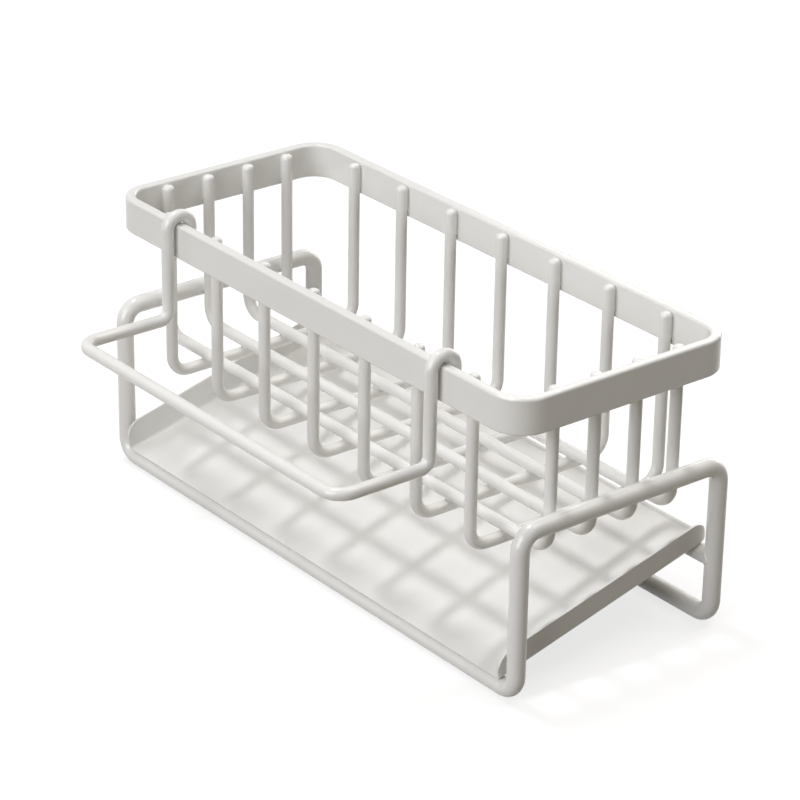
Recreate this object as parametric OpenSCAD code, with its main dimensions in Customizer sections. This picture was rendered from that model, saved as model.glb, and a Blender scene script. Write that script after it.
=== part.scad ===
// Kitchen sink caddy. A wire basket is welded inside a flat rim band and stands on one bent rod.
// A towel rail hooks over the front of the band, and a loose drip tray slopes to the front below.
// X runs along the caddy, the front faces -Y, and the two floor rails stand on Z = 0.

/* [Rim band] */
// Length of the band over its outside
rim_l = 300; // [260:1:340]
// Width of the band over its outside
rim_w = 125; // [110:1:150]
// Height of the flat band
rim_h = 17; // [12:0.5:22]
// Thickness of the band
rim_t = 5; // [4:0.25:7]
// Outside radius of the band's corners
rim_corner_r = 16; // [12:0.5:20]
// Radius that rounds the band's edges
rim_edge_r = 1.2; // [0.6:0.1:1.8]
// Height of the band's top edge over the counter
rim_top_z = 143; // [130:1:165]

/* [Basket wires] */
// Diameter of the basket's wires
wire_d = 5.6; // [4.6:0.1:6.4]
// Number of crosswise wires
cross_count = 7; // [5:1:9]
// Distance of the outermost crosswise wires from the ends of the band
cross_margin = 37.2; // [30:0.2:42]
// Number of lengthwise wires
long_count = 4; // [3:1:5]
// Distance of the outermost lengthwise wires from the sides of the band
long_margin = 27.1; // [20:0.1:32]
// Depth from the band's top edge to the axis of the crosswise wires
basket_depth = 84; // [70:1:92]
// Bend radius of the wires, at their axis
wire_bend_r = 9; // [7:0.5:12]
// Radius that rounds the tips of the wires
wire_tip_r = 2; // [1:0.1:2.2]
// Distance of the wires' tips below the band's top edge
wire_tip_drop = 0.8; // [0.4:0.1:3]

/* [Base frame] */
// Diameter of the base frame's rod
tube_d = 8.4; // [7:0.1:10]
// Bend radius of the rod, at its axis
tube_bend_r = 8.5; // [7:0.5:14]
// Distance of the legs' outsides from the band's outside, seen from the end
leg_inset = 0.8; // [0:0.1:3]
// Height of the crossbars' axis over the axis of the crosswise wires
crossbar_rise = 22.4; // [19:0.2:30]
// Height of the tray bar's axis over the axis of the floor rails
tray_rise = 29.4; // [22:0.2:33]
// Distance from the end of the tray bar to the axis of the leg
bar_end_gap = 1; // [0.6:0.1:2]

/* [Towel rail] */
// Diameter of the towel rail's rod
towel_d = 6; // [5:0.1:7]
// Distance of the towel rail's legs from the ends of the band
towel_margin = 51.8; // [50:0.2:58]
// Reach from the outside of the band to the axis of the front bar
towel_reach = 53.9; // [40:0.1:70]
// Drop from the band's top edge to the axis of the arms
towel_drop = 47.1; // [38:0.1:60]
// Bend radius between legs and arms
towel_leg_r = 5; // [4:0.5:8]
// Bend radius between arms and front bar
towel_corner_r = 9; // [6:0.5:16]
// Room between the band's faces and the hooks
hook_gap = 0.95; // [0.6:0.05:1.5]
// Depth of the hooks' tips below the band's top edge
hook_depth = 12; // [9:0.5:16]
// Radius that rounds the tips of the hooks
hook_tip_r = 1.6; // [0.8:0.1:2]

/* [Drip tray] */
// Thickness of the tray's sheet
tray_t = 1.2; // [0.8:0.1:1.6]
// Height of the end walls over the tray's underside
tray_wall_h = 13.2; // [10:0.2:14]
// Outward lean of the walls over their height
tray_flare = 1.8; // [1:0.1:3]
// Inside radius of the bends between the floor and the walls
tray_bend_r = 1.6; // [1.2:0.1:2.4]
// Radius of the tray's rear corners seen from above, at the top of the walls
tray_corner_r = 6.6; // [6:0.1:9]
// Radius of the end walls' front corners, seen from the end
tray_front_r = 9; // [5:0.5:9]
// Radius of the end walls' rear corners, seen from the end
tray_rear_r = 8; // [3:0.5:9]
// Height of the rear lip over the tray's underside
tray_lip_h = 1.8; // [1.6:0.1:2.4]
// Reach of the tray's front edge past the axis of the front rail
tray_front_over = 2; // [1:0.1:4]
// Reach of the tray's rear edge past the axis of the tray bar
tray_rear_over = 5.4; // [4.6:0.1:7]
// Distance from the rear edge to the end of the full-height walls
tray_shoulder_in = 1.8; // [1.6:0.1:4]
// Gap between the tops of the end walls and the legs
tray_end_gap = 1.3; // [0.8:0.1:3]

/* [Fits] */
// Depth to which a welded rod sinks into its neighbour
weld_sink = 0.1; // [0.05:0.01:0.15]
// Clearance where a loose piece rests on the frame
rest_gap = 0.3; // [0.2:0.05:0.5]

/* [Hidden] */
$fn = 48;
coat = [0.93, 0.92, 0.89];
// Overrun of every cut
over = 1;
// Straights shorter than this are left out between two bends
least_straight = 0.01;
// Places are rounded to this, so that faces that meet do so exactly
fine_step = 0.001;
function neat(v) = is_list(v) ? [for (c = v) neat(c)] : round(v / fine_step) * fine_step;

// Basket
cross_half = rim_w / 2 - rim_t - wire_d / 2 + weld_sink;
long_half = rim_l / 2 - rim_t - wire_d / 2 + weld_sink;
cross_pitch = (rim_l - 2 * cross_margin) / (cross_count - 1);
long_pitch = (rim_w - 2 * long_margin) / (long_count - 1);
cross_z = rim_top_z - basket_depth;
long_z = cross_z + wire_d - weld_sink;
tip_z = rim_top_z - wire_tip_drop;

// Base frame
rail_z = tube_d / 2;
leg_x = long_half + wire_d / 2 + tube_d / 2 - weld_sink;
leg_y = rim_w / 2 - leg_inset - tube_d / 2;
crossbar_z = cross_z + crossbar_rise;
bar_z = rail_z + tray_rise;

// Towel rail: the hooks' arch clears the band's rounded top edges by the rest gap
towel_x = rim_l / 2 - towel_margin;
hook_in_r = rim_t / 2 + hook_gap;
hook_r = neat(hook_in_r + towel_d / 2);
hook_side = rim_t / 2 - rim_edge_r;
hook_rise = sqrt(pow(hook_in_r - rim_edge_r - rest_gap, 2) - pow(hook_side, 2));
crown_z = rim_top_z - rim_edge_r - hook_rise + hook_r;
hook_mid_y = -rim_w / 2 + rim_t / 2;
arm_z = rim_top_z - towel_drop;
front_bar_y = -rim_w / 2 - towel_reach;

// Drip tray, in its own axes: X along the caddy, Y up the slope, Z square to the tray's floor
tray_run = neat(norm([2 * leg_y, tray_rise]));
tray_tilt = atan2(tray_rise, 2 * leg_y);
tray_seat = tube_d / 2 + rest_gap;
wall_bend = 90 - atan2(tray_flare, tray_wall_h);
bend_out_r = tray_bend_r + tray_t;
wall_run = neat((tray_wall_h - bend_out_r * (1 - cos(wall_bend))) / sin(wall_bend));
wall_reach = neat(bend_out_r * sin(wall_bend) + wall_run * cos(wall_bend));
floor_x = leg_x - tube_d / 2 - tray_end_gap - wall_reach;
floor_corner_r = tray_corner_r - wall_reach;
tray_front = neat(-tray_run / 2 - tray_front_over);
tray_rear = neat(tray_run / 2 + tray_rear_over);
floor_rear = tray_rear - bend_out_r;
corner_x = floor_x - floor_corner_r;
corner_rear = floor_rear - floor_corner_r;
shoulder = tray_rear - tray_shoulder_in;

// Places along the caddy, counted from the left and from the front
function cross_x(i) = (i - (cross_count + 1) / 2) * cross_pitch;
function long_y(i) = (i - (long_count + 1) / 2) * long_pitch;

function unit(v) = v / norm(v);
function across(way) = unit(cross(way, abs(way.z) < norm([way.x, way.y]) ? [0, 0, 1] : [1, 0, 0]));

// Children stand at a point, with their axes along the three given directions
module place(at, ax, ay, az) {
    p = neat(at);
    multmatrix([
        [ax.x, ay.x, az.x, p.x],
        [ax.y, ay.y, az.y, p.y],
        [ax.z, ay.z, az.z, p.z],
        [0, 0, 0, 1]])
        children();
}

// Straight round rod between two points
module rod(from, to, d) {
    way = unit(to - from);
    place(from, across(way), cross(way, across(way)), way)
        cylinder(d = d, h = norm(neat(to) - neat(from)));
}

// Rounded end of a rod that points along a direction
module rod_tip(at, way, d, tip_r)
    place(at, across(way), cross(way, across(way)), way)
        rotate_extrude() {
            square([d / 2 - tip_r, tip_r]);
            translate([d / 2 - tip_r, 0]) intersection() {
                circle(r = tip_r);
                square(tip_r);
            }
        }

// Quarter bend of a rod that comes in along one direction and leaves along another
module rod_bend(corner, in, out, d, r)
    place(corner - r * in + r * out, -out, in, cross(-out, in))
        rotate_extrude(angle = 90) translate([r, 0]) circle(d = d);

// Open rod along a path with square corners, a bend radius for each point and rounded tips
module bent_rod(path, radii, d, tip_r) {
    last = len(path) - 1;
    cuts = [for (i = [0:last]) i == 0 || i == last ? tip_r : radii[i]];
    for (i = [1:last]) {
        way = unit(path[i] - path[i - 1]);
        if (norm(path[i] - path[i - 1]) - cuts[i - 1] - cuts[i] > least_straight)
            rod(path[i - 1] + cuts[i - 1] * way, path[i] - cuts[i] * way, d);
        if (i < last)
            rod_bend(path[i], way, unit(path[i + 1] - path[i]), d, radii[i]);
    }
    start = unit(path[0] - path[1]);
    end = unit(path[last] - path[last - 1]);
    rod_tip(path[0] - tip_r * start, start, d, tip_r);
    rod_tip(path[last] - tip_r * end, end, d, tip_r);
}

// Closed rod round a loop with square corners, all bent alike
module closed_rod(loop, d, r)
    for (i = [0:len(loop) - 1]) {
        from = loop[i];
        to = loop[(i + 1) % len(loop)];
        way = unit(to - from);
        rod(from + r * way, to - r * way, d);
        rod_bend(to, way, unit(loop[(i + 2) % len(loop)] - to), d, r);
    }

// Section of the flat band, with its inner face on X = 0
module band_section() {
    translate([rim_edge_r, 0]) square([rim_t - 2 * rim_edge_r, rim_h]);
    translate([0, rim_edge_r]) square([rim_t, rim_h - 2 * rim_edge_r]);
    for (x = [rim_edge_r, rim_t - rim_edge_r], y = [rim_edge_r, rim_h - rim_edge_r])
        translate([x, y]) circle(r = rim_edge_r);
}

// Flat band bent on edge into a loop and welded shut
module rim_band()
    color(coat) translate([0, 0, rim_top_z - rim_h]) {
        straight_x = rim_l / 2 - rim_corner_r;
        straight_y = rim_w / 2 - rim_corner_r;
        for (end = [0, 1]) mirror([end, 0, 0])
            place([rim_l / 2 - rim_t, straight_y, 0], [1, 0, 0], [0, 0, 1], [0, -1, 0])
                linear_extrude(2 * straight_y) band_section();
        for (side = [0, 1]) mirror([0, side, 0])
            place([-straight_x, rim_w / 2 - rim_t, 0], [0, 1, 0], [0, 0, 1], [1, 0, 0])
                linear_extrude(2 * straight_x) band_section();
        for (end = [0, 1], side = [0, 1]) mirror([end, 0, 0]) mirror([0, side, 0])
            translate([straight_x, straight_y, 0]) rotate_extrude(angle = 90)
                translate([rim_corner_r - rim_t, 0]) band_section();
    }

// U-shaped wire across a direction, with its two ends welded to the inside of the band
module basket_wire(way, half, floor_z) {
    up = [0, 0, 1];
    color(coat) bent_rod(
        [-half * way + tip_z * up, -half * way + floor_z * up, half * way + floor_z * up, half * way + tip_z * up],
        [0, wire_bend_r, wire_bend_r, 0], wire_d, wire_tip_r);
}

module cross_wire(i)
    translate([cross_x(i), 0, 0]) basket_wire([0, 1, 0], cross_half, cross_z);

module long_wire(i)
    translate([0, long_y(i), 0]) basket_wire([1, 0, 0], long_half, long_z);

// One rod bent into a closed loop: two floor rails, four legs and two crossbars
module base_frame()
    color(coat) closed_rod([
        [-leg_x, -leg_y, rail_z], [leg_x, -leg_y, rail_z],
        [leg_x, -leg_y, crossbar_z], [leg_x, leg_y, crossbar_z],
        [leg_x, leg_y, rail_z], [-leg_x, leg_y, rail_z],
        [-leg_x, leg_y, crossbar_z], [-leg_x, -leg_y, crossbar_z]],
        tube_d, tube_bend_r);

// Straight bar between the rear legs, with its ends coped to the legs
module tray_bar()
    color(coat) difference() {
        rod([bar_end_gap - leg_x, leg_y, bar_z], [leg_x - bar_end_gap, leg_y, bar_z], tube_d);
        for (x = [-leg_x, leg_x])
            translate([x, leg_y, bar_z - tube_d]) cylinder(d = tube_d, h = 2 * tube_d);
    }

// One rod: hooks over the band, legs down its outside, arms to the front and a bar for the towel
module towel_rail() {
    in_y = hook_mid_y + hook_r;
    out_y = hook_mid_y - hook_r;
    hook_tip_z = rim_top_z - hook_depth;
    color(coat) bent_rod([
        [-towel_x, in_y, hook_tip_z], [-towel_x, in_y, crown_z], [-towel_x, out_y, crown_z],
        [-towel_x, out_y, arm_z], [-towel_x, front_bar_y, arm_z],
        [towel_x, front_bar_y, arm_z], [towel_x, out_y, arm_z],
        [towel_x, out_y, crown_z], [towel_x, in_y, crown_z], [towel_x, in_y, hook_tip_z]],
        [0, hook_r, hook_r, towel_leg_r, towel_corner_r,
         towel_corner_r, towel_leg_r, hook_r, hook_r, 0],
        towel_d, hook_tip_r);
}

// Section of a tray wall: the bend starts at X = 0, and the flange leans outwards from it
module wall_section()
    translate([0, bend_out_r]) {
        intersection() {
            difference() {
                circle(r = bend_out_r);
                circle(r = tray_bend_r);
            }
            translate([0, -bend_out_r - over]) square(bend_out_r + over);
            rotate(wall_bend) translate([-bend_out_r - over, -bend_out_r - over]) square(bend_out_r + over);
        }
        rotate(wall_bend) translate([0, -bend_out_r]) square([wall_run, tray_t]);
    }

// Floor of the tray, seen from above
module tray_floor_outline() {
    translate([-floor_x, tray_front - over]) square([2 * floor_x, corner_rear - tray_front + over]);
    translate([-corner_x, corner_rear - over]) square([2 * corner_x, floor_rear - corner_rear + over]);
    for (x = [-corner_x, corner_x])
        translate([x, corner_rear]) circle(r = floor_corner_r);
}

// The pressed tray before it is trimmed: floor, end walls, rear wall and the two corners between
module tray_blank() {
    linear_extrude(tray_t) tray_floor_outline();
    place([-corner_x, floor_rear, 0], [0, 1, 0], [0, 0, 1], [1, 0, 0])
        linear_extrude(2 * corner_x) wall_section();
    for (end = [0, 1]) mirror([end, 0, 0]) {
        place([floor_x, corner_rear, 0], [1, 0, 0], [0, 0, 1], [0, -1, 0])
            linear_extrude(corner_rear - tray_front + over) wall_section();
        translate([corner_x, corner_rear, 0]) rotate_extrude(angle = 90)
            translate([floor_corner_r, 0]) wall_section();
    }
}

// What the trimming leaves, seen from the end: full walls between round corners, then a low lip
module tray_side_outline() {
    translate([tray_front, -over]) square([tray_rear + wall_reach - tray_front, tray_lip_h + over]);
    translate([tray_front, -over]) square([tray_front_r, tray_wall_h - tray_front_r + over]);
    translate([tray_front + tray_front_r, -over])
        square([shoulder - tray_front - tray_front_r - tray_rear_r, tray_wall_h + 2 * over]);
    translate([shoulder - tray_rear_r, -over]) square([tray_rear_r, tray_wall_h - tray_rear_r + over]);
    translate([tray_front + tray_front_r, tray_wall_h - tray_front_r]) circle(r = tray_front_r);
    translate([shoulder - tray_rear_r, tray_wall_h - tray_rear_r]) circle(r = tray_rear_r);
}

// Pressed sheet tray that slopes from the tray bar down to the front rail, open at its front
module drip_tray()
    color(coat) translate([0, 0, (rail_z + bar_z) / 2]) rotate([tray_tilt, 0, 0])
        translate([0, 0, tray_seat]) intersection() {
            tray_blank();
            place([-leg_x, 0, 0], [0, 1, 0], [0, 0, 1], [1, 0, 0])
                linear_extrude(2 * leg_x) tray_side_outline();
        }

rim_band();
for (i = [1:cross_count])
    cross_wire(i);
for (i = [1:long_count])
    long_wire(i);
base_frame();
tray_bar();
towel_rail();
drip_tray();
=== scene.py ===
import math

import bpy
from mathutils import Matrix, Vector


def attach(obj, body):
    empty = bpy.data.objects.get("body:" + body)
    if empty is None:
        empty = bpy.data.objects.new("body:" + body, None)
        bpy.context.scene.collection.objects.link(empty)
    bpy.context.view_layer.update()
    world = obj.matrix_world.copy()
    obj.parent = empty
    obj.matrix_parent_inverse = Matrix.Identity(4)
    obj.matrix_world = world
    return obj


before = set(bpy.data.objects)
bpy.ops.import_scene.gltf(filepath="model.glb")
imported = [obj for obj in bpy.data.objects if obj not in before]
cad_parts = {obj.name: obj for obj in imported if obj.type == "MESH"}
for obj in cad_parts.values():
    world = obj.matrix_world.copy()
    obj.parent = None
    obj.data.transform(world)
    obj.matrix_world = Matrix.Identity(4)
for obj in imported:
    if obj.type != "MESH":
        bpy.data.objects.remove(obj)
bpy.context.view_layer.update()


# Crosswise basket wires: seven round steel wires, each bent to a wide U and cut to one length.
# They hang side by side in the rim band and carry the basket's load. Like the whole caddy they
# are powder coated off-white after welding, which leaves a satin skin with a faint orange peel.
CROSS_WIRES = ["cross_wire_%d" % i for i in range(1, 8)]
OFF_WHITE = (0.88, 0.875, 0.855)
SLIGHT_DRIFT = (0.86, 0.855, 0.835)
FULLER_DRIFT = (0.855, 0.85, 0.83)
COAT_IOR = 1.5
COAT_SHINE = 0.75
GRIT_SCALE = 5200.0
GRIT_SHARE = 0.18
PEEL_STRENGTH = 0.5
GLOSS_CLOUDS = {"scale": 38.0, "detail": 3.0, "low": 0.3, "high": 0.7}
TONE_CLOUDS = {"scale": 26.0, "detail": 4.0, "low": 0.35, "high": 0.7}


def new_nodes(tree, *kinds):
    """Adds one shader node of each kind named, in that order."""
    return [tree.nodes.new("ShaderNode" + kind) for kind in kinds]


def fill(node, values):
    """Sets a node's own values by the name or the number of the socket."""
    for socket, value in values.items():
        node.inputs[socket].default_value = value


def link(tree, *pairs):
    """Links the first socket of each pair to the second."""
    for source, target in pairs:
        tree.links.new(source, target)


def new_group(name, inputs, outputs):
    """An empty node group with the sockets named, and the two nodes that stand for them."""
    group = bpy.data.node_groups.new(name, "ShaderNodeTree")
    for side, sockets in (("INPUT", inputs), ("OUTPUT", outputs)):
        for label, kind in sockets.items():
            group.interface.new_socket(label, in_out=side, socket_type="NodeSocket" + kind)
    return group, group.nodes.new("NodeGroupInput"), group.nodes.new("NodeGroupOutput")


def clouds(tree, scale, detail, low, high):
    """A slow noise over a piece, with its values from low to high stretched to the full range."""
    where, noise, stretch = new_nodes(tree, "TexCoord", "TexNoise", "MapRange")
    fill(noise, {"Scale": scale, "Detail": detail})
    fill(stretch, {"From Min": low, "From Max": high})
    link(
        tree,
        (where.outputs["Object"], noise.inputs["Vector"]),
        (noise.outputs["Fac"], stretch.inputs["Value"]),
    )
    return stretch


def coat_skin_group():
    """Orange peel of a baked powder coat: its height, and a roughness that drifts over a piece."""
    group, given, made = new_group(
        "coat_skin",
        {"Peel Scale": "Float", "Smooth": "Float", "Dull": "Float"},
        {"Height": "Float", "Roughness": "Float"},
    )
    where, peel, grit, height = new_nodes(group, "TexCoord", "TexNoise", "TexNoise", "Math")
    gloss = clouds(group, **GLOSS_CLOUDS)
    height.operation = "MULTIPLY_ADD"
    fill(peel, {"Detail": 1.0})
    fill(grit, {"Scale": GRIT_SCALE, "Detail": 2.0})
    fill(height, {1: GRIT_SHARE})
    link(
        group,
        (where.outputs["Object"], peel.inputs["Vector"]),
        (where.outputs["Object"], grit.inputs["Vector"]),
        (given.outputs["Peel Scale"], peel.inputs["Scale"]),
        (grit.outputs["Fac"], height.inputs[0]),
        (peel.outputs["Fac"], height.inputs[2]),
        (height.outputs[0], made.inputs["Height"]),
        (given.outputs["Smooth"], gloss.inputs["To Min"]),
        (given.outputs["Dull"], gloss.inputs["To Max"]),
        (gloss.outputs["Result"], made.inputs["Roughness"]),
    )
    return group


def coat_tone_group():
    """Slow drift of the coat's tone over a piece, and the thinner, greyer coat along an edge."""
    group, given, made = new_group(
        "coat_tone",
        {"Coat": "Color", "Drift": "Color", "Edge": "Color", "Edge Mask": "Float"},
        {"Color": "Color"},
    )
    tone = clouds(group, **TONE_CLOUDS)
    drift, edge = new_nodes(group, "Mix", "Mix")
    drift.data_type = edge.data_type = "RGBA"
    link(
        group,
        (tone.outputs["Result"], drift.inputs["Factor"]),
        (given.outputs["Coat"], drift.inputs["A"]),
        (given.outputs["Drift"], drift.inputs["B"]),
        (given.outputs["Edge Mask"], edge.inputs["Factor"]),
        (drift.outputs["Result"], edge.inputs["A"]),
        (given.outputs["Edge"], edge.inputs["B"]),
        (edge.outputs["Result"], made.inputs["Color"]),
    )
    return group


coat_skin = coat_skin_group()
coat_tone = coat_tone_group()


def powder_coat(name, coat, drift, smooth, dull, peel_scale, peel_depth=0.00007):
    """A powder-coated finish: satin, faintly dimpled, tone and gloss drifting a little."""
    finish = bpy.data.materials.new(name)
    finish.use_nodes = True
    tree = finish.node_tree
    shader = tree.nodes["Principled BSDF"]
    skin, tone, bump = new_nodes(tree, "Group", "Group", "Bump")
    skin.node_tree, tone.node_tree = coat_skin, coat_tone
    fill(skin, {"Peel Scale": peel_scale, "Smooth": smooth, "Dull": dull})
    fill(tone, {"Coat": (*coat, 1.0), "Drift": (*drift, 1.0)})
    fill(bump, {"Strength": PEEL_STRENGTH, "Distance": peel_depth})
    fill(shader, {"IOR": COAT_IOR, "Specular IOR Level": COAT_SHINE})
    link(
        tree,
        (skin.outputs["Height"], bump.inputs["Height"]),
        (bump.outputs["Normal"], shader.inputs["Normal"]),
        (skin.outputs["Roughness"], shader.inputs["Roughness"]),
        (tone.outputs["Color"], shader.inputs["Base Color"]),
    )
    return finish


def give_finish(piece, finish):
    """Puts one finish on a piece, whatever slots it came with."""
    if not piece.data.materials:
        piece.data.materials.append(finish)
    for k in range(len(piece.data.materials)):
        piece.data.materials[k] = finish


wire_coat = powder_coat(
    "wire_coat", OFF_WHITE, FULLER_DRIFT, smooth=0.19, dull=0.27, peel_scale=700.0
)
for name in CROSS_WIRES:
    give_finish(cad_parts[name], wire_coat)


# Lengthwise basket wires: four longer U-shaped wires lying on the crosswise ones.
# Each of the 28 crossings is resistance welded: the wires sink a little into each other, and
# the coat fills the crevice round the joint with a small waisted collar.
LONG_WIRES = ["long_wire_%d" % i for i in range(1, 5)]
CROSS_PITCH = 0.0376
CROSS_PLACES = [CROSS_PITCH * k for k in range(-3, 4)]
LONG_PLACES = [-0.0354, -0.0118, 0.0118, 0.0354]
CROSSING_HEIGHT = 0.06175
CROSSING_COLLAR = {"waist": 0.0018, "mouth": 0.0024, "half": 0.00145}
COLLAR_SIDES = 20
COLLAR_ROUNDING = 0.62
SMOOTH_ANGLE = math.radians(50)
TINY = 1e-6


def draw_in(blank, middle, across, ratio, rounding, segments):
    """Cuts a blank across at its middle, narrows it there and rounds the waist."""
    bpy.ops.object.mode_set(mode="EDIT")
    bpy.ops.mesh.select_all(action="SELECT")
    bpy.ops.mesh.bisect(plane_co=middle, plane_no=across)
    bpy.ops.mesh.select_mode(type="VERT")
    bpy.ops.mesh.select_all(action="DESELECT")
    bpy.ops.object.mode_set(mode="OBJECT")
    for v in blank.data.vertices:
        v.select = abs((v.co - Vector(middle)).dot(Vector(across))) < TINY
    bpy.ops.object.mode_set(mode="EDIT")
    bpy.ops.transform.resize(value=ratio, center_override=(0, 0, 0))
    bpy.ops.mesh.bevel(offset=rounding, segments=segments, affect="EDGES")
    bpy.ops.object.mode_set(mode="OBJECT")


def close_off(piece, finish):
    """Merges a shaped piece's doubles, turns its faces outwards, smooths it and coats it."""
    bpy.ops.object.mode_set(mode="EDIT")
    bpy.ops.mesh.select_all(action="SELECT")
    bpy.ops.mesh.remove_doubles(threshold=TINY)
    bpy.ops.mesh.normals_make_consistent(inside=False)
    bpy.ops.object.mode_set(mode="OBJECT")
    bpy.ops.object.shade_smooth_by_angle(angle=SMOOTH_ANGLE)
    give_finish(piece, finish)
    return piece


def spread(pattern, name, places, body):
    """Copies one pattern piece to each place, joins the copies and lets them ride on a body."""
    copies = []
    for place in places:
        copy = pattern.copy()
        copy.data = pattern.data.copy()
        copy.data.transform(place)
        bpy.context.scene.collection.objects.link(copy)
        copies.append(copy)
    bpy.data.objects.remove(pattern)
    bpy.ops.object.select_all(action="DESELECT")
    for copy in copies:
        copy.select_set(True)
    bpy.context.view_layer.objects.active = copies[0]
    bpy.ops.object.join()
    whole = bpy.context.view_layer.objects.active
    whole.name = name
    whole.data.name = name
    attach(whole, body)


def weld_collar(waist, mouth, half):
    """The filled crevice between two crossing rods, upright, its middle at the origin."""
    bpy.ops.object.select_all(action="DESELECT")
    bpy.ops.mesh.primitive_cylinder_add(
        vertices=COLLAR_SIDES, radius=mouth, depth=2 * half, location=(0, 0, 0)
    )
    collar = bpy.context.active_object
    ratio = (waist / mouth, waist / mouth, 1)
    draw_in(collar, (0, 0, 0), (0, 0, 1), ratio, half * COLLAR_ROUNDING, segments=4)
    return close_off(collar, wire_coat)


for name in LONG_WIRES:
    give_finish(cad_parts[name], wire_coat)
crossings = [
    Matrix.Translation((x, y, CROSSING_HEIGHT)) for x in CROSS_PLACES for y in LONG_PLACES
]
spread(weld_collar(**CROSSING_COLLAR), "crossing_welds", crossings, "caddy")


# Rim band: flat steel strip on edge, bent round four corners and butt welded into a closed ring.
# Its cut edges are rounded over. Every wire end stands against its inside face and is spot
# welded there, and the coat fills the two narrow grooves beside each end.
BAND_MIDDLE = 0.1345
BAND_HALF_HEIGHT = 0.0085
BAND_INSIDE_Y = 0.0575
BAND_INSIDE_X = 0.145
EDGE_COAT = (0.81, 0.805, 0.79)
EDGE_FADE = 0.0016
EDGE_SHARE = 0.6
SEAT_ROOT = 0.0021
SEAT_WAIST = 0.0015
SEAT_LENGTH = 0.0115
SEAT_SHORTENING = 0.93
SEAT_MIDDLE = (0, -0.0004, 0)
SEAT_THICKNESS = 0.0011
SEAT_ROUNDING = 0.0003


def grey_edges(finish):
    """Greys the coat along the strip's two long edges, by the distance from its mid-height."""
    tree = finish.node_tree
    tone = next(n for n in tree.nodes if n.type == "GROUP" and n.node_tree == coat_tone)
    where, split, mask = new_nodes(tree, "TexCoord", "SeparateXYZ", "MapRange")
    offset, distance = new_nodes(tree, "Math", "Math")
    offset.operation, distance.operation = "SUBTRACT", "ABSOLUTE"
    mask.interpolation_type = "SMOOTHSTEP"
    fill(offset, {1: BAND_MIDDLE})
    fill(mask, {
        "From Min": BAND_HALF_HEIGHT - EDGE_FADE, "From Max": BAND_HALF_HEIGHT,
        "To Max": EDGE_SHARE,
    })
    fill(tone, {"Edge": (*EDGE_COAT, 1.0)})
    link(
        tree,
        (where.outputs["Object"], split.inputs["Vector"]),
        (split.outputs["Z"], offset.inputs[0]),
        (offset.outputs[0], distance.inputs[0]),
        (distance.outputs[0], mask.inputs["Value"]),
        (mask.outputs["Result"], tone.inputs["Edge Mask"]),
    )


def seat_weld():
    """The filled grooves beside an upright wire end on a face at y = 0 that looks towards -y."""
    bpy.ops.object.select_all(action="DESELECT")
    bpy.ops.mesh.primitive_cube_add(size=1, location=SEAT_MIDDLE)
    seat = bpy.context.active_object
    seat.scale = (2 * SEAT_ROOT, SEAT_THICKNESS, SEAT_LENGTH)
    bpy.ops.object.transform_apply(location=True, rotation=True, scale=True)
    ratio = (SEAT_WAIST / SEAT_ROOT, 1, SEAT_SHORTENING)
    draw_in(seat, SEAT_MIDDLE, (0, 1, 0), ratio, SEAT_ROUNDING, segments=3)
    return close_off(seat, wire_coat)


band_coat = powder_coat(
    "band_coat", OFF_WHITE, SLIGHT_DRIFT, smooth=0.19, dull=0.265, peel_scale=620.0
)
grey_edges(band_coat)
give_finish(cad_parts["rim_band"], band_coat)
half_turn = Matrix.Rotation(math.pi, 4, "Z")
quarter_turn = Matrix.Rotation(math.pi / 2, 4, "Z")
quarter_back = Matrix.Rotation(-math.pi / 2, 4, "Z")
seats = []
for x in CROSS_PLACES:
    seats.append(Matrix.Translation((x, BAND_INSIDE_Y, BAND_MIDDLE)))
    seats.append(Matrix.Translation((x, -BAND_INSIDE_Y, BAND_MIDDLE)) @ half_turn)
for y in LONG_PLACES:
    seats.append(Matrix.Translation((BAND_INSIDE_X, y, BAND_MIDDLE)) @ quarter_back)
    seats.append(Matrix.Translation((-BAND_INSIDE_X, y, BAND_MIDDLE)) @ quarter_turn)
spread(seat_weld(), "rim_welds", seats, "caddy")


# Base frame: one thicker rod bent into a closed loop with two floor rails, four legs and two
# end crossbars, and closed by a butt weld. The crossbars are welded to the outsides of the
# lengthwise wires, just above the bends where these climb to the rim.
CROSSBAR_HEIGHT = 0.0814
CROSSBAR_TOUCH = 0.14505
CROSSBAR_COLLAR = {"waist": 0.0019, "mouth": 0.0025, "half": 0.00155}

rod_coat = powder_coat(
    "rod_coat", OFF_WHITE, FULLER_DRIFT, smooth=0.18, dull=0.26, peel_scale=640.0
)
give_finish(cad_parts["base_frame"], rod_coat)
sideways = Matrix.Rotation(math.pi / 2, 4, "Y")
touches = [
    Matrix.Translation((side * CROSSBAR_TOUCH, y, CROSSBAR_HEIGHT)) @ sideways
    for side in (-1, 1) for y in LONG_PLACES
]
spread(weld_collar(**CROSSBAR_COLLAR), "crossbar_welds", touches, "caddy")


# Tray bar: a straight length of the same rod between the rear legs, its ends cut to the legs'
# round and welded all round. A low bead follows each saddle-shaped joint.
BAR_END = Vector((0.1492, 0.0575, 0.0336))
ROD_RADIUS = 0.0042
BEAD_RADIUS = 0.00045
BEAD_SINK = 0.0001


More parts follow.
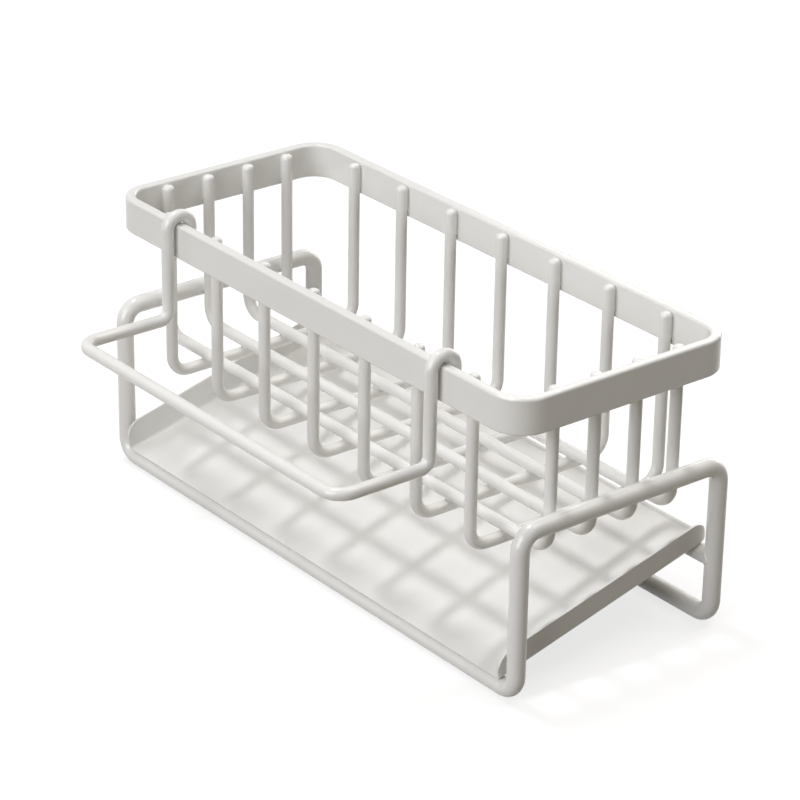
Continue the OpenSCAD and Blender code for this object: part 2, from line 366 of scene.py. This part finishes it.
def saddle_bead():
    """The upper half of the bead, about a joint at the origin with the bar coming from the left."""
    bpy.ops.object.select_all(action="DESELECT")
    bpy.ops.mesh.primitive_torus_add(
        major_radius=ROD_RADIUS - BEAD_SINK, minor_radius=BEAD_RADIUS,
        major_segments=40, minor_segments=12, location=(0, 0, 0), rotation=(0, math.pi / 2, 0),
    )
    bead = bpy.context.active_object
    bpy.ops.object.transform_apply(location=True, rotation=True, scale=True)
    bpy.ops.object.mode_set(mode="EDIT")
    bpy.ops.mesh.select_all(action="SELECT")
    bpy.ops.mesh.bisect(plane_co=(0, 0, 0), plane_no=(0, 0, 1), clear_inner=True, use_fill=True)
    bpy.ops.mesh.select_all(action="SELECT")
    bpy.ops.transform.resize(value=(1, 1, math.sqrt(2)), center_override=(0, 0, 0))
    bpy.ops.object.mode_set(mode="OBJECT")
    bead.data.transform(Matrix.Rotation(-math.pi / 4, 4, "Y"))
    return close_off(bead, rod_coat)


give_finish(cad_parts["tray_bar"], rod_coat)
right_end = Matrix.Translation(BAR_END)
left_end = Matrix.Translation((-BAR_END.x, BAR_END.y, BAR_END.z)) @ half_turn
upside_down = Matrix.Rotation(math.pi, 4, "X")
bead_places = [left_end, left_end @ upside_down, right_end, right_end @ upside_down]
spread(saddle_bead(), "tray_bar_welds", bead_places, "caddy")


# Towel rail: one thinner rod with a hook at each end, two arms reaching forward and a front bar.
# It isn't welded: the hooks hang over the rim band, and their tips are rounded off.
rail_coat = powder_coat(
    "rail_coat", OFF_WHITE, SLIGHT_DRIFT, smooth=0.18, dull=0.25, peel_scale=700.0
)
give_finish(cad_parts["towel_rail"], rail_coat)


# Drip tray: thin sheet steel, pressed to a shallow tray with flared ends and a low rear lip, and
# open at the front. It slopes forward on the front floor rail and the tray bar, and lies loose.
# Painted shade: the tray's white and its drift are a little darker than the other coats, to stand
# for shade under the basket.
TRAY_WHITE_PAINTED_SHADE = (0.865, 0.86, 0.84)
TRAY_DRIFT_PAINTED_SHADE = (0.84, 0.835, 0.815)

tray_coat = powder_coat(
    "tray_coat", TRAY_WHITE_PAINTED_SHADE, TRAY_DRIFT_PAINTED_SHADE, smooth=0.285, dull=0.37,
    peel_scale=560.0, peel_depth=0.00009,
)
give_finish(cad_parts["drip_tray"], tray_coat)


# Studio: a pale floor that keeps the caddy's shadow, and a surround that is brighter overhead. A
# small lamp overhead draws the wires' shadows on the tray, wide ones above, in front and behind
# light the sides, and a faint one is mirrored in the top edge of the band.
FLOOR_SIZE = 9
FLOOR_PAINT = (0.18, 0.15, 0.10, 1)
FLOOR_ROUGHNESS = 0.9
WHITE = (1.0, 1.0, 1.0, 1)
WHITE_SHARE = 0.66
WHITE_STRENGTH = 1.12
AIR_COLOUR = (1.0, 0.955, 0.87, 1)
AIR_BRIGHTENS_FROM = 0.25
AIR_LOW = 0.02
AIR_OVERHEAD = 0.30
LAMP_AIM = Vector((0, 0, 0.07))
SENSOR_WIDTH = 36.0
FOCAL_PIXELS = 3259.71
PICTURE_PIXELS = 800.0
CAMERA_PLACE = (1.07041, -0.86082, 0.71617)
CAMERA_RIGHT = (0.61931, 0.78501, 0.01444)
CAMERA_UP = (-0.34151, 0.25278, 0.90525)
CAMERA_AHEAD = (-0.70698, 0.56556, -0.42464)

bpy.ops.object.select_all(action="DESELECT")
bpy.ops.mesh.primitive_plane_add(size=FLOOR_SIZE, location=(0, 0, 0))
floor = bpy.context.active_object
floor.name = "floor"


def seen_directly(tree):
    """A factor that is 1 for what the camera sees, straight, mirrored or through glass."""
    path, first, both = new_nodes(tree, "LightPath", "Math", "Math")
    first.operation = both.operation = "MAXIMUM"
    link(
        tree,
        (path.outputs["Is Camera Ray"], first.inputs[0]),
        (path.outputs["Is Glossy Ray"], first.inputs[1]),
        (first.outputs[0], both.inputs[0]),
        (path.outputs["Is Transmission Ray"], both.inputs[1]),
    )
    return both.outputs[0]


ground = bpy.data.materials.new("pale_floor")
ground.use_nodes = True
tree = ground.node_tree
shader = tree.nodes["Principled BSDF"]
paint, share, white, blend = new_nodes(tree, "Mix", "Math", "Emission", "MixShader")
paint.data_type = "RGBA"
share.operation = "MULTIPLY"
direct = seen_directly(tree)
fill(shader, {"Roughness": FLOOR_ROUGHNESS, "Specular IOR Level": 0.0})
fill(paint, {"A": FLOOR_PAINT, "B": WHITE})
fill(share, {1: WHITE_SHARE})
fill(white, {"Strength": WHITE_STRENGTH})
link(
    tree,
    (direct, paint.inputs["Factor"]),
    (paint.outputs["Result"], shader.inputs["Base Color"]),
    (direct, share.inputs[0]),
    (share.outputs[0], blend.inputs["Fac"]),
    (shader.outputs[0], blend.inputs[1]),
    (white.outputs[0], blend.inputs[2]),
    (blend.outputs[0], tree.nodes["Material Output"].inputs["Surface"]),
)
floor.data.materials.append(ground)

surround = bpy.data.worlds.new("surround")
surround.use_nodes = True
bpy.context.scene.world = surround
tree = surround.node_tree
air = tree.nodes["Background"]
way, split, level = new_nodes(tree, "TexCoord", "SeparateXYZ", "MapRange")
white, blend = new_nodes(tree, "Background", "MixShader")
level.interpolation_type = "SMOOTHSTEP"
fill(level, {"From Min": AIR_BRIGHTENS_FROM, "To Min": AIR_LOW, "To Max": AIR_OVERHEAD})
fill(air, {"Color": AIR_COLOUR})
link(
    tree,
    (way.outputs["Generated"], split.inputs["Vector"]),
    (split.outputs["Z"], level.inputs["Value"]),
    (level.outputs["Result"], air.inputs["Strength"]),
    (seen_directly(tree), blend.inputs["Fac"]),
    (air.outputs[0], blend.inputs[1]),
    (white.outputs[0], blend.inputs[2]),
    (blend.outputs[0], tree.nodes["World Output"].inputs["Surface"]),
)


def soft_lamp(name, place, width, power, colour):
    """A square soft lamp that looks at the middle of the caddy."""
    bpy.ops.object.light_add(type="AREA", location=place)
    lamp = bpy.context.active_object
    lamp.name = name
    lamp.data.size = width
    lamp.data.energy = power
    lamp.data.color = colour
    lamp.rotation_euler = (LAMP_AIM - Vector(place)).to_track_quat("-Z", "Y").to_euler()


soft_lamp("lamp_overhead", (-0.68, -0.10, 2.85), 0.40, 27.0, (0.98, 0.98, 1.0))
soft_lamp("lamp_above", (0.50, 0.95, 2.25), 1.1, 13.0, (1.0, 0.96, 0.89))
soft_lamp("lamp_front", (0.32, -2.33, 1.12), 1.9, 43.0, (0.975, 0.98, 1.0))
soft_lamp("lamp_rear", (-0.80, 2.40, 0.50), 1.6, 20.0, (1.0, 0.99, 0.975))
soft_lamp("lamp_sheen", (-0.92, 1.18, 1.04), 0.6, 2.2, (1.0, 0.995, 0.98))

bpy.ops.object.camera_add(location=(0, 0, 0))
camera = bpy.context.active_object
camera.name = "camera"
camera.data.sensor_width = SENSOR_WIDTH
camera.data.lens = SENSOR_WIDTH * FOCAL_PIXELS / PICTURE_PIXELS
camera.data.clip_start = 0.05
camera.data.clip_end = 50.0
backward = [-a for a in CAMERA_AHEAD]
rows = [list(row) for row in zip(CAMERA_RIGHT, CAMERA_UP, backward, CAMERA_PLACE)]
camera.matrix_world = Matrix(rows + [[0, 0, 0, 1]])
bpy.context.scene.camera = camera
bpy.context.scene.view_settings.view_transform = "Standard"
